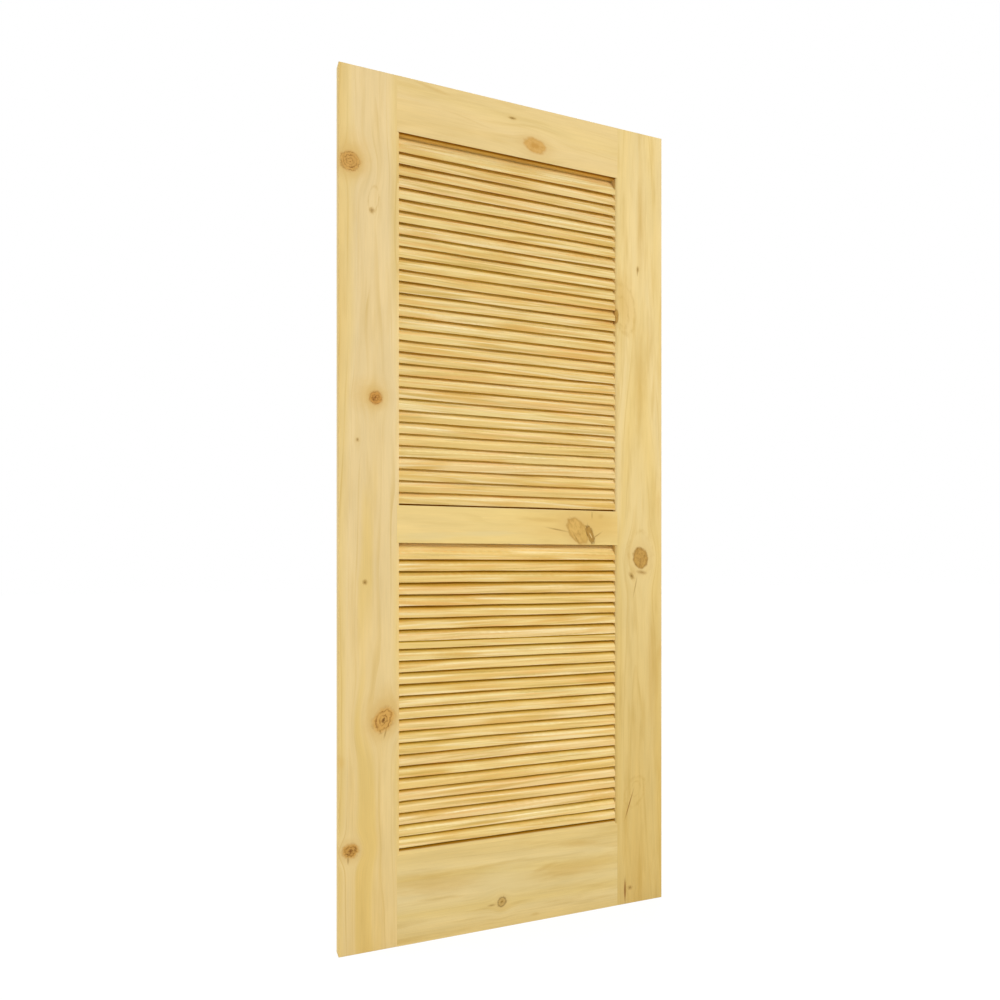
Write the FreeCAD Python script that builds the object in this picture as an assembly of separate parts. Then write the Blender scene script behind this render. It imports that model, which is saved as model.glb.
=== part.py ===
import FreeCAD, Part
import math
import os

# Louvred pine door leaf: two stiles, three rails and two fields of fixed sloping slats.
# X runs from the hinge edge to the lock edge, the front faces -Y, Z runs up from the foot.
# All sizes are in millimetres.

# Leaf
LEAF_WIDTH = 800.0
LEAF_HEIGHT = 2000.0
LEAF_THICKNESS = 35.0

# Frame boards
STILE_WIDTH = 131.0
EASING_WIDTH = 5.0
EASING_DEPTH = 3.0
TOP_RAIL_HEIGHT = 129.0
MIDDLE_RAIL_HEIGHT = 86.5
MIDDLE_RAIL_LIFT = 927.0
BOTTOM_RAIL_HEIGHT = 209.0

# Tenons that join the rails to the stiles
TENON_THICKNESS = 12.0
TENON_LENGTH = 70.0
TENON_INSET = 20.0

# Slats
SLAT_THICKNESS = 8.0
SLAT_ANGLE = 49.0
SLAT_RECESS = 3.5
HOUSING_DEPTH = 8.0
UPPER_SLATS = 31
LOWER_SLATS = 26
SLATS_PER_NODE = 2
UPPER_REVEAL = 43.5
LOWER_REVEAL = 38.0
SILL_CLEARANCE = 4.0
SILL_SET_BACK = 10.0
CLOSE_STEP = 17.5
SLATS_ABOVE_CLOSE_STEP = 8

FACE = LEAF_THICKNESS / 2
SLOPE = math.tan(math.radians(SLAT_ANGLE))
NOSE_HEIGHT = SLAT_THICKNESS / math.cos(math.radians(SLAT_ANGLE))
SLAT_FRONT = SLAT_RECESS - FACE
SLAT_BACK = FACE - SLAT_RECESS
SLAT_RISE = (SLAT_BACK - SLAT_FRONT) * SLOPE
SILL_START = SLAT_FRONT + SILL_SET_BACK
TOP_RAIL_UNDERSIDE = LEAF_HEIGHT - TOP_RAIL_HEIGHT
MIDDLE_RAIL_TOP = MIDDLE_RAIL_LIFT + MIDDLE_RAIL_HEIGHT


def mirrored(x):
    """Position on the lock side that matches x on the hinge side."""
    return LEAF_WIDTH - x


def prism_along_x(section, start, end):
    """Solid with a section given as (y, z) points, from one x to another."""
    points = [FreeCAD.Vector(start, y, z) for y, z in section]
    face = Part.Face(Part.makePolygon(points + points[:1]))
    return face.extrude(FreeCAD.Vector(end - start, 0, 0))


def prism_along_z(section, height):
    """Solid with a section given as (x, y) points, standing on the foot."""
    points = [FreeCAD.Vector(x, y, 0) for x, y in section]
    face = Part.Face(Part.makePolygon(points + points[:1]))
    return face.extrude(FreeCAD.Vector(0, 0, height))


def stile_blank(side):
    """Stile board with its inner edge eased on both faces, before any housing is cut."""
    section = [
        (side(0), -FACE),
        (side(STILE_WIDTH - EASING_WIDTH), -FACE),
        (side(STILE_WIDTH), EASING_DEPTH - FACE),
        (side(STILE_WIDTH), FACE - EASING_DEPTH),
        (side(STILE_WIDTH - EASING_WIDTH), FACE),
        (side(0), FACE),
    ]
    return prism_along_z(section, LEAF_HEIGHT)


def rail_tenons(foot, top):
    """Tenon bar that runs through a rail into both stiles."""
    cheek = TENON_THICKNESS / 2
    section = [
        (-cheek, foot + TENON_INSET),
        (cheek, foot + TENON_INSET),
        (cheek, top - TENON_INSET),
        (-cheek, top - TENON_INSET),
    ]
    reach = STILE_WIDTH - TENON_LENGTH
    return prism_along_x(section, reach, mirrored(reach))


def rail(section, tenons, stiles):
    """Rail whose shoulders are scribed over the eased stiles, with its tenons."""
    shoulder = STILE_WIDTH - EASING_WIDTH
    board = prism_along_x(section, shoulder, mirrored(shoulder))
    return board.cut(stiles).fuse(tenons).removeSplitter()


def slat(nose_foot, ceiling):
    """One sloping slat with plumb edges, trimmed where it would pass into the rail above."""
    section = [
        (SLAT_FRONT, nose_foot),
        (SLAT_FRONT, nose_foot + NOSE_HEIGHT),
        (SLAT_BACK, nose_foot + NOSE_HEIGHT + SLAT_RISE),
        (SLAT_BACK, nose_foot + SLAT_RISE),
    ]
    end = STILE_WIDTH - HOUSING_DEPTH
    solid = prism_along_x(section, end, mirrored(end))
    below_rail = [
        (-FACE, 0),
        (FACE, 0),
        (FACE, ceiling),
        (-FACE, ceiling),
    ]
    return solid.common(prism_along_x(below_rail, end, mirrored(end)))


def upper_noses():
    """Heights of the slat noses in the upper field, from the top down."""
    first = TOP_RAIL_UNDERSIDE - UPPER_REVEAL
    last = MIDDLE_RAIL_TOP + SILL_CLEARANCE
    pitch = (first - last) / (UPPER_SLATS - 1)
    return [first - pitch * i for i in range(UPPER_SLATS)]


def lower_noses():
    """Heights of the slat noses in the lower field, with its one close step."""
    first = MIDDLE_RAIL_LIFT - LOWER_REVEAL
    even_span = first - CLOSE_STEP - BOTTOM_RAIL_HEIGHT + NOSE_HEIGHT
    pitch = even_span / (LOWER_SLATS - 1)
    heights = []
    for i in range(LOWER_SLATS):
        closed_up = pitch - CLOSE_STEP if i >= SLATS_ABOVE_CLOSE_STEP else 0
        heights.append(first - pitch * i + closed_up)
    return heights


def write_slats(name, slats):
    """Save the slats of one field from the top down, a few to each file."""
    for start in range(0, len(slats), SLATS_PER_NODE):
        group = Part.makeCompound(slats[start:start + SLATS_PER_NODE])
        number = start // SLATS_PER_NODE + 1
        group.exportStep(f"parts/{name}_{number:02d}.step")


os.makedirs("parts", exist_ok=True)

upper_slats = [slat(z, TOP_RAIL_UNDERSIDE) for z in upper_noses()]
lower_slats = [slat(z, MIDDLE_RAIL_LIFT) for z in lower_noses()]

# Blank stiles first, because the rail shoulders are scribed to them
left_blank = stile_blank(lambda x: x)
right_blank = stile_blank(mirrored)
blanks = [left_blank, right_blank]

top_tenons = rail_tenons(TOP_RAIL_UNDERSIDE, LEAF_HEIGHT)
top_section = [
    (-FACE, TOP_RAIL_UNDERSIDE),
    (FACE, TOP_RAIL_UNDERSIDE),
    (FACE, LEAF_HEIGHT),
    (-FACE, LEAF_HEIGHT),
]
rail(top_section, top_tenons, blanks).exportStep("parts/top_rail.step")

# The middle rail's upper edge is flat at the front, then rises to the back below the lowest slat
middle_tenons = rail_tenons(MIDDLE_RAIL_LIFT, MIDDLE_RAIL_TOP)
middle_section = [
    (-FACE, MIDDLE_RAIL_LIFT),
    (FACE, MIDDLE_RAIL_LIFT),
    (FACE, MIDDLE_RAIL_TOP + (FACE - SILL_START) * SLOPE),
    (SILL_START, MIDDLE_RAIL_TOP),
    (-FACE, MIDDLE_RAIL_TOP),
]
rail(middle_section, middle_tenons, blanks).exportStep("parts/middle_rail.step")

# The bottom rail's upper edge rises to the back in line with the slats
bottom_tenons = rail_tenons(0, BOTTOM_RAIL_HEIGHT)
bottom_section = [
    (-FACE, 0),
    (FACE, 0),
    (FACE, BOTTOM_RAIL_HEIGHT + LEAF_THICKNESS * SLOPE),
    (-FACE, BOTTOM_RAIL_HEIGHT),
]
rail(bottom_section, bottom_tenons, blanks).exportStep("parts/bottom_rail.step")

# Mortises for the tenons and stopped housings for the slat ends
seats = [top_tenons, middle_tenons, bottom_tenons] + upper_slats + lower_slats
left_blank.cut(seats).exportStep("parts/left_stile.step")
right_blank.cut(seats).exportStep("parts/right_stile.step")

write_slats("upper_slats", upper_slats)
write_slats("lower_slats", lower_slats)
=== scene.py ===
"""Looks of a bare pine louvred door leaf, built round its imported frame."""

import logging
import math
import random
from collections.abc import Iterable, Sequence
from dataclasses import dataclass
from enum import Enum

import bmesh
import bpy
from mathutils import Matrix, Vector


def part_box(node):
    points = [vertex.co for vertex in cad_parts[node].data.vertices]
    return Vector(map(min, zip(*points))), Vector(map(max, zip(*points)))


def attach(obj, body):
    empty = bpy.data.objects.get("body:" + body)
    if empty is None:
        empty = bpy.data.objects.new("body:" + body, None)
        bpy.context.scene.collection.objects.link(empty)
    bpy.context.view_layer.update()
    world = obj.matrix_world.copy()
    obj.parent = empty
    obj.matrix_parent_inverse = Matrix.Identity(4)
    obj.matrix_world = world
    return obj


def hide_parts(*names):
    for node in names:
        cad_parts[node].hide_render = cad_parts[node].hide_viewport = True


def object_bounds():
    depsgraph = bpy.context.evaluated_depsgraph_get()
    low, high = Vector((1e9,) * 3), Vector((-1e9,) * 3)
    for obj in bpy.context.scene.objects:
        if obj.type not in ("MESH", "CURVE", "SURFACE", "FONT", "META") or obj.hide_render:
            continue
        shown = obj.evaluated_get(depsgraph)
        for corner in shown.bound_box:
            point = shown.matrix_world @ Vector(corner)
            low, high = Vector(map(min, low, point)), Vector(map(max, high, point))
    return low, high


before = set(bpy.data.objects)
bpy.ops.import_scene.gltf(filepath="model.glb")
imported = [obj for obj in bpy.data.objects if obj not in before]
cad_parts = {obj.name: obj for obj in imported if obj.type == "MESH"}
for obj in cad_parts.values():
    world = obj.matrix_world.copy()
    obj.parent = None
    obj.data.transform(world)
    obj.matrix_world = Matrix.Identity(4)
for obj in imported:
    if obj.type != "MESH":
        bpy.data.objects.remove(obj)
CAD_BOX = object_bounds()

LOG = logging.getLogger("louvred_door")
BODY = "root"
MM = 0.001
TOLERANCE = 0.01 * MM
WHITE = "#FFFFFF"

# Leaf sizes in millimetres that the node boxes don't give by themselves
EASING_WIDTH = 5.0
EASING_DEPTH = 3.0
ARRIS = 0.9
ARRIS_STEPS = 2
SLAT_ANGLE = 49.0
SLAT_FRONT = -14.0
SILL_START = -4.0
MIDDLE_RAIL_TOP = 1013.5
BOTTOM_RAIL_TOP = 209.0
UPPER_PIECES = 16
LOWER_PIECES = 13
LEAF_LOW, LEAF_HIGH = CAD_BOX
LEAF_HEIGHT = (LEAF_HIGH.z - LEAF_LOW.z) / MM
FACE = LEAF_LOW.y / MM

# Attributes that the slats' meshes carry for their finish and for the painted shade between them
SLAT_SEED = "slat_seed"
SLAT_SHADE_RATE = "slat_shade_rate"

# Bare softwood from the plane: matt, with hardly any gloss
WOOD_IOR = 1.5
ROUGHNESS = 0.7
GLOSS = 0.05
NOISE_MEAN = 0.5

Colour = tuple[float, float, float, float]
Point = tuple[float, float, float]
Tints = tuple[tuple[float, str], ...]
Tree = bpy.types.NodeTree
Socket = bpy.types.NodeSocket


def linear(hex_colour: str) -> Colour:
    """Turn an sRGB hex value into linear red, green, blue and alpha.

    Args:
        hex_colour: Six hex digits with a leading hash.

    Returns:
        The four linear channels, alpha being one.
    """
    channels = [int(hex_colour[i:i + 2], 16) / 255 for i in (1, 3, 5)]
    red, green, blue = [c / 12.92 if c <= 0.04045 else ((c + 0.055) / 1.055) ** 2.4 for c in channels]
    return red, green, blue, 1.0


def add(
    tree: Tree,
    kind: str,
    inputs: dict | None = None,
    out: str | None = None,
    stops: Sequence[tuple[float, str]] = (),
    **settings: object,
) -> Socket | None:
    """Add one shader node with its settings and links.

    Args:
        tree: The node tree that gets the node.
        kind: Blender's name for the node type, without the words all of them start with.
        inputs: Sockets by name or number, each with a value or a socket to link.
        out: Name of the output wanted, or None for the first one in use.
        stops: Positions and hex colours of a colour ramp.
        settings: Properties of the node itself.

    Returns:
        The output socket, or None if the node has no output.
    """
    node = tree.nodes.new(f"ShaderNode{kind}")
    for name, value in settings.items():
        setattr(node, name, value)
    if stops:
        elements = node.color_ramp.elements
        while len(elements) < len(stops):
            elements.new(1.0)
        for element, (position, colour) in zip(elements, stops):
            element.position = position
            element.color = linear(colour)
    for key, value in (inputs or {}).items():
        if isinstance(value, Socket):
            tree.links.new(value, node.inputs[key])
        else:
            node.inputs[key].default_value = value
    if out is not None:
        return node.outputs[out]
    return next((s for s in node.outputs if s.enabled), None)


def blank_material(name: str) -> tuple[bpy.types.Material, Tree]:
    """Start a node material with no nodes in it.

    Args:
        name: Name of the real material and its finish.

    Returns:
        The material and its node tree.
    """
    material = bpy.data.materials.new(name)
    material.use_nodes = True
    material.node_tree.nodes.clear()
    return material, material.node_tree


def place_on_leaf(tree: Tree) -> Socket:
    """Add the position on the leaf, in millimetres."""
    place = add(tree, "TexCoord", out="Object")
    return add(tree, "VectorMath", {0: place, "Scale": 1 / MM}, operation="SCALE")


def planed_surface(tree: Tree, colour: Socket, relief: Socket, shown: float, depth: float) -> None:
    """End a material as bare planed wood: matt, with a very slight relief.

    Args:
        tree: The material's node tree.
        colour: Colour of the wood.
        relief: Height of its surface.
        shown: How much of the relief shows.
        depth: Depth of the relief, in millimetres.
    """
    normal = add(tree, "Bump", {"Strength": shown, "Distance": depth * MM, "Height": relief})
    shader = add(
        tree, "BsdfPrincipled",
        {
            "Base Color": colour, "Roughness": ROUGHNESS, "IOR": WOOD_IOR, "Specular IOR Level": GLOSS,
            "Normal": normal,
        },
    )
    add(tree, "OutputMaterial", {"Surface": shader})


def painted_shade_by_depth(tree: Tree, depth: Socket, tints: Tints, colour: Socket) -> Socket:
    """Paint shade into a colour by its depth in the leaf.

    Args:
        tree: The material's node tree.
        depth: Depth from the middle of the leaf towards the back, in millimetres.
        tints: Depths in millimetres, each with the painted shade there.
        colour: The colour to tint.

    Returns:
        The colour with the painted shade.
    """
    share = add(tree, "MapRange", {"Value": depth, "From Min": FACE, "From Max": -FACE})
    tint = add(
        tree, "ValToRGB", {"Fac": share},
        stops=[((place - FACE) / (-2 * FACE), tint) for place, tint in tints],
    )
    return add(tree, "Mix", {0: 1.0, 6: colour, 7: tint}, data_type="RGBA", blend_type="MULTIPLY")


class Grain(Enum):
    """The way a board's fibres run, as the axis along them."""

    UPRIGHT = (0.0, 0.0, 1.0)
    LEVEL = (1.0, 0.0, 0.0)

    def stretched(self, across: float, along: float) -> Point:
        """Pattern size with one length across the fibres and another along them."""
        return tuple(along if part else across for part in self.value)

    def crosswise(self, share: float) -> Point:
        """Vector across the fibres in the plane of the face."""
        return (share, 0.0, 0.0) if self is Grain.UPRIGHT else (0.0, 0.0, share)

    def section(self) -> Point:
        """Mask that keeps only the two axes of the board's cross section."""
        return tuple(1.0 - part for part in self.value)


class WoodPattern(Enum):
    """Noise in the wood: sizes across and along the fibres in millimetres, and detail.

    Real fibres are finer than these, but would not show at this size, so they are drawn coarser.
    """

    def noise(self, tree: Tree, place: Socket, grain: Grain, start: Point) -> Socket:
        """Add the pattern to a material.

        Args:
            tree: The material's node tree.
            place: Position in millimetres.
            grain: The way the fibres run.
            start: Where the pattern begins, so that boards differ.

        Returns:
            A number that varies about one half.
        """
        across, along, detail = self.value
        stretched = add(
            tree, "Mapping",
            {"Vector": place, "Location": start, "Scale": grain.stretched(across, along)},
            vector_type="TEXTURE",
        )
        return add(tree, "TexNoise", {"Vector": stretched, "Scale": 1.0, "Detail": detail}, out="Fac")


class BoardPattern(WoodPattern):
    """Noise in the boards of the frame."""

    WOBBLE = (75.0, 760.0, 2.0)
    PRESENCE = (24.0, 380.0, 1.0)
    BLOTCH = (30.0, 170.0, 2.0)
    WISP = (13.0, 150.0, 3.0)
    FIBRE = (1.8, 70.0, 1.0)


class SlatPattern(WoodPattern):
    """Noise in the slats."""

    PATCH = (22.0, 150.0, 1.0)
    PALE = (6.5, 260.0, 2.0)
    OLIVE = (6.0, 220.0, 2.0)
    ORANGE = (6.5, 240.0, 2.0)
    FIBRE = (1.5, 60.0, 1.0)


@dataclass(frozen=True)
class MarkLook:
    """Colours, edge and relief of one kind of natural mark in the wood.

    body, core and line are the field, the middle and the rings of the mark. cover is how much it
    hides the board, soft the width of its border as a share of its size, and ripple the raggedness
    of its outline. flow bends the fibres round it, sink lowers it, rim darkens its outline and mottled
    flecks it. A hollow mark is only a broken line.
    """

    body: str
    cover: float
    soft: float
    ripple: float
    core: str = ""
    core_size: float = 0.0
    line: str = ""
    rings: float = 0.0
    rim: float = 0.0
    mottled: float = 0.0
    halo: float = 0.0
    flow: float = 0.0
    sink: float = 0.0
    hollow: bool = False


class MarkKind(Enum):
    """The natural marks that show on the leaf."""

    ORANGE_KNOT = MarkLook(
        "#D2A054", 0.86, 0.24, 0.3, core="#A06424", core_size=0.1, line="#885012", rings=3.2, mottled=0.3,
        halo=0.55, flow=0.9,
    )
    EYED_KNOT = MarkLook(
        "#D8A656", 0.9, 0.26, 0.3, core="#6E3E0C", core_size=0.15, line="#925A1C", rings=2.6, mottled=0.3,
        halo=0.55, flow=0.9,
    )
    RED_KNOT = MarkLook(
        "#CC9244", 0.9, 0.3, 0.34, core="#84480F", core_size=0.2, line="#80460C", rings=2.2, mottled=0.3,
        halo=0.5, flow=0.9,
    )
    TARGET_KNOT = MarkLook(
        "#CE9A4A", 0.92, 0.28, 0.34, core="#7C460C", core_size=0.28, line="#703E06", rings=1.6, mottled=0.3,
        halo=0.5, flow=0.9,
    )
    BROWN_KNOT = MarkLook(
        "#C69A4E", 0.95, 0.14, 0.24, line="#8C6226", rim=0.5, mottled=0.8, halo=0.3, flow=1.0,
    )
    GOLDEN_KNOT = MarkLook(
        "#D8A85A", 0.86, 0.22, 0.26, core="#C89240", core_size=0.36, line="#B88030", rim=0.3, mottled=0.5,
        halo=0.35, flow=0.9,
    )
    PALE_KNOT = MarkLook(
        "#DAAE5C", 0.74, 0.14, 0.3, line="#A87830", rim=0.7, mottled=0.8, halo=0.35, flow=0.7,
    )
    RING_KNOT = MarkLook(
        "#CCAA64", 0.95, 0.3, 0.45, core="#94702E", core_size=0.3, line="#6E4A16", rim=1.0, mottled=0.3,
        halo=0.3, flow=0.9,
    )
    PIN_KNOT = MarkLook(
        "#A8823C", 0.76, 0.6, 0.75, core="#6E4C14", core_size=0.4, halo=0.3, flow=0.8, sink=0.1,
    )
    GREY_KNOT = MarkLook(
        "#B48E4C", 0.7, 0.6, 0.8, core="#86622A", core_size=0.4, halo=0.2, flow=0.8, sink=0.05,
    )
    BARK = MarkLook(
        "#B88C42", 0.9, 0.22, 0.75, core="#E6CA8A", core_size=0.24, line="#5E3C0C", rim=0.95, mottled=0.5,
        sink=0.15,
    )
    SHAKE = MarkLook("#A88040", 0.6, 0.75, 0.5, core="#8C6224", core_size=0.3, sink=0.1)
    CRACK = MarkLook("#96602A", 0.8, 0.6, 0.4, core="#74420F", core_size=0.3, sink=0.2)
    STREAK = MarkLook("#CDA656", 0.4, 0.85, 0.6)
    BLUSH = MarkLook("#DAB05E", 0.42, 0.9, 0.4)
    PALE_PATCH = MarkLook("#E5CE92", 0.6, 0.6, 0.5)
    LOOP = MarkLook("#C49A46", 0.32, 0.2, 0.3, hollow=True)


@dataclass(frozen=True)
class Mark:
    """One natural mark: its place on the leaf, half sizes and tilt.

    x runs from the hinge edge and drop from the top of the leaf, in millimetres. tilt is in degrees.
    """

    kind: MarkKind
    x: float
    drop: float
    half_width: float
    half_height: float
    tilt: float = 0.0

    # Reach of a mark into the board, in millimetres
    BRANCH_DEPTH = 60.0

    # Distances in half sizes of the mark
    FLOW_REACH = 2.2
    HALO = {"From Min": 2.3, "From Max": 0.9}
    RIM = {"From Min": 0.72, "From Max": 0.98}
    CORE_EDGE = 1.5
    CORE_FULL = 0.5

    # Noise that makes the outline ragged, breaks the lines and flecks the inside
    RAGGED = {"Scale": 2.2, "Detail": 4.0, "Roughness": 0.62}
    RIPPLE_GAIN = 2.4
    RING_WANDER = 1.7
    RING_LINE = {"From Min": 0.4, "From Max": 0.95}
    RING_BREAKS = {"From Min": 0.4, "From Max": 0.6, "To Min": 0.3, "To Max": 0.95}
    LOOP_BREAKS = {"From Min": 0.36, "From Max": 0.6}
    FLECKS = {"Scale": 2.6, "Detail": 5.0, "Roughness": 0.72}
    FLECKS_SHOW = {"From Min": 0.45, "From Max": 0.68}

    # Resin-rich wood round a knot
    HALO_COLOUR = "#D9B46E"

    # Relief of a mark that sinks by one
    SINK_GAIN = 3

    def centre(self) -> Point:
        """Middle of the mark on the front face, in millimetres."""
        return self.x, FACE, LEAF_HEIGHT - self.drop

    def spread(self, times: float) -> Point:
        """Size of a pattern a number of times as large as the mark, fading towards the back."""
        return self.half_width * times, self.BRANCH_DEPTH, self.half_height * times

    def bent(self, tree: Tree, place: Socket, flowed: Socket, grain: Grain) -> Socket:
        """Bend the fibres round the mark.

        Args:
            tree: The material's node tree.
            place: Position in millimetres.
            flowed: Position as other marks have bent it so far.
            grain: The way the fibres run.

        Returns:
            The position to read the grain at.
        """
        near = add(
            tree, "Mapping",
            {"Vector": place, "Location": self.centre(), "Scale": self.spread(self.FLOW_REACH)},
            vector_type="TEXTURE",
        )
        reach = add(tree, "VectorMath", {0: near, 1: near}, out="Value", operation="DOT_PRODUCT")
        reach = add(tree, "Math", {0: reach, 1: -1.0}, operation="MULTIPLY")
        pull = add(tree, "Math", {0: reach}, operation="EXPONENT")
        across = grain.crosswise(self.kind.value.flow)
        aside = add(tree, "VectorMath", {0: place, 1: self.centre()}, operation="SUBTRACT")
        aside = add(tree, "VectorMath", {0: aside, 1: across}, operation="MULTIPLY")
        aside = add(tree, "VectorMath", {0: aside, "Scale": pull}, operation="SCALE")
        return add(tree, "VectorMath", {0: flowed, 1: aside}, operation="SUBTRACT")

    def laid(self, tree: Tree, place: Socket, colour: Socket, relief: Socket) -> tuple[Socket, Socket]:
        """Lay the mark over the wood.

        Args:
            tree: The material's node tree.
            place: Position in millimetres.
            colour: Colour of the wood so far.
            relief: Relief of the wood so far.

        Returns:
            The colour and the relief with the mark in them.
        """
        look = self.kind.value
        near = add(
            tree, "Mapping",
            {
                "Vector": place, "Location": self.centre(), "Scale": self.spread(1.0),
                "Rotation": (0.0, math.radians(self.tilt), 0.0),
            },
            vector_type="TEXTURE",
        )
        ragged = add(
            tree, "TexNoise", {"Vector": near, "W": self.x + self.drop, **self.RAGGED}, out="Color",
            noise_dimensions="4D",
        )
        mottle = add(tree, "SeparateXYZ", {"Vector": ragged}, out="Y")
        ragged = add(tree, "VectorMath", {0: ragged, 1: (NOISE_MEAN,) * 3}, operation="SUBTRACT")
        ripple = (look.ripple * self.RIPPLE_GAIN,) * 3
        near = add(tree, "VectorMath", {0: ragged, 1: ripple, 2: near}, operation="MULTIPLY_ADD")
        reach = add(tree, "VectorMath", {0: near}, out="Value", operation="LENGTH")
        if look.halo:
            glow = add(
                tree, "MapRange", {"Value": reach, **self.HALO, "To Max": look.halo},
                interpolation_type="SMOOTHSTEP",
            )
            halo = linear(self.HALO_COLOUR)
            colour = add(tree, "Mix", {0: glow, 6: colour, 7: halo}, data_type="RGBA")
        inside = self._inside(tree, near, reach, mottle)
        cover = self._cover(tree, reach, mottle)
        colour = add(tree, "Mix", {0: cover, 6: colour, 7: inside}, data_type="RGBA")
        if look.sink:
            sunk = -look.sink * self.SINK_GAIN
            relief = add(tree, "Math", {0: cover, 1: sunk, 2: relief}, operation="MULTIPLY_ADD")
        return colour, relief

    def _inside(self, tree: Tree, near: Socket, reach: Socket, mottle: Socket) -> Socket | Colour:
        """Colour the inside of the mark: its field, rings, flecks, core and rim.

        Args:
            tree: The material's node tree.
            near: Ragged position in half sizes of the mark.
            reach: Distance from the middle of the mark.
            mottle: Noise that breaks the rings.

        Returns:
            The colour of the mark.
        """
        look = self.kind.value
        layers = []
        if look.rings:
            turns = add(tree, "Math", {0: mottle, 1: self.RING_WANDER}, operation="MULTIPLY")
            turns = add(tree, "Math", {0: reach, 1: look.rings, 2: turns}, operation="MULTIPLY_ADD")
            turns = add(tree, "Math", {0: turns}, operation="FRACT")
            turns = add(tree, "MapRange", {"Value": turns, **self.RING_LINE}, interpolation_type="SMOOTHSTEP")
            broken = add(tree, "MapRange", {"Value": mottle, **self.RING_BREAKS})
            turns = add(tree, "Math", {0: turns, 1: broken}, operation="MULTIPLY")
            layers.append((turns, look.line))
        if look.mottled:
            flecks = add(tree, "TexNoise", {"Vector": near, **self.FLECKS}, out="Fac")
            flecks = add(tree, "MapRange", {"Value": flecks, **self.FLECKS_SHOW, "To Max": look.mottled})
            layers.append((flecks, look.line))
        if look.core_size:
            edge = look.core_size * self.CORE_EDGE
            full = look.core_size * self.CORE_FULL
            core = add(
                tree, "MapRange", {"Value": reach, "From Min": edge, "From Max": full},
                interpolation_type="SMOOTHSTEP",
            )
            layers.append((core, look.core))
        if look.rim:
            outline = add(
                tree, "MapRange", {"Value": reach, **self.RIM, "To Max": look.rim},
                interpolation_type="SMOOTHSTEP",
            )
            layers.append((outline, look.line))
        inside = linear(look.body)
        for share, colour in layers:
            inside = add(tree, "Mix", {0: share, 6: inside, 7: linear(colour)}, data_type="RGBA")
        return inside

    def _cover(self, tree: Tree, reach: Socket, mottle: Socket) -> Socket:
        """Say how much of the board the mark hides.

        Args:
            tree: The material's node tree.
            reach: Distance from the middle of the mark.
            mottle: Noise that breaks a hollow mark's line.

        Returns:
            The share that the mark hides.
        """
        look = self.kind.value
        edge, full = 1.0 + look.soft, 1.0 - look.soft
        if look.hollow:
            reach = add(tree, "Math", {0: reach, 1: 1.0}, operation="SUBTRACT")
            reach = add(tree, "Math", {0: reach}, operation="ABSOLUTE")
            edge, full = look.soft, 0.0
        cover = add(
            tree, "MapRange",
            {"Value": reach, "From Min": edge, "From Max": full, "To Max": look.cover},
            interpolation_type="SMOOTHSTEP",
        )
        if not look.hollow:
            return cover
        broken = add(tree, "MapRange", {"Value": mottle, **self.LOOP_BREAKS})
        return add(tree, "Math", {0: cover, 1: broken}, operation="MULTIPLY")


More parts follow.
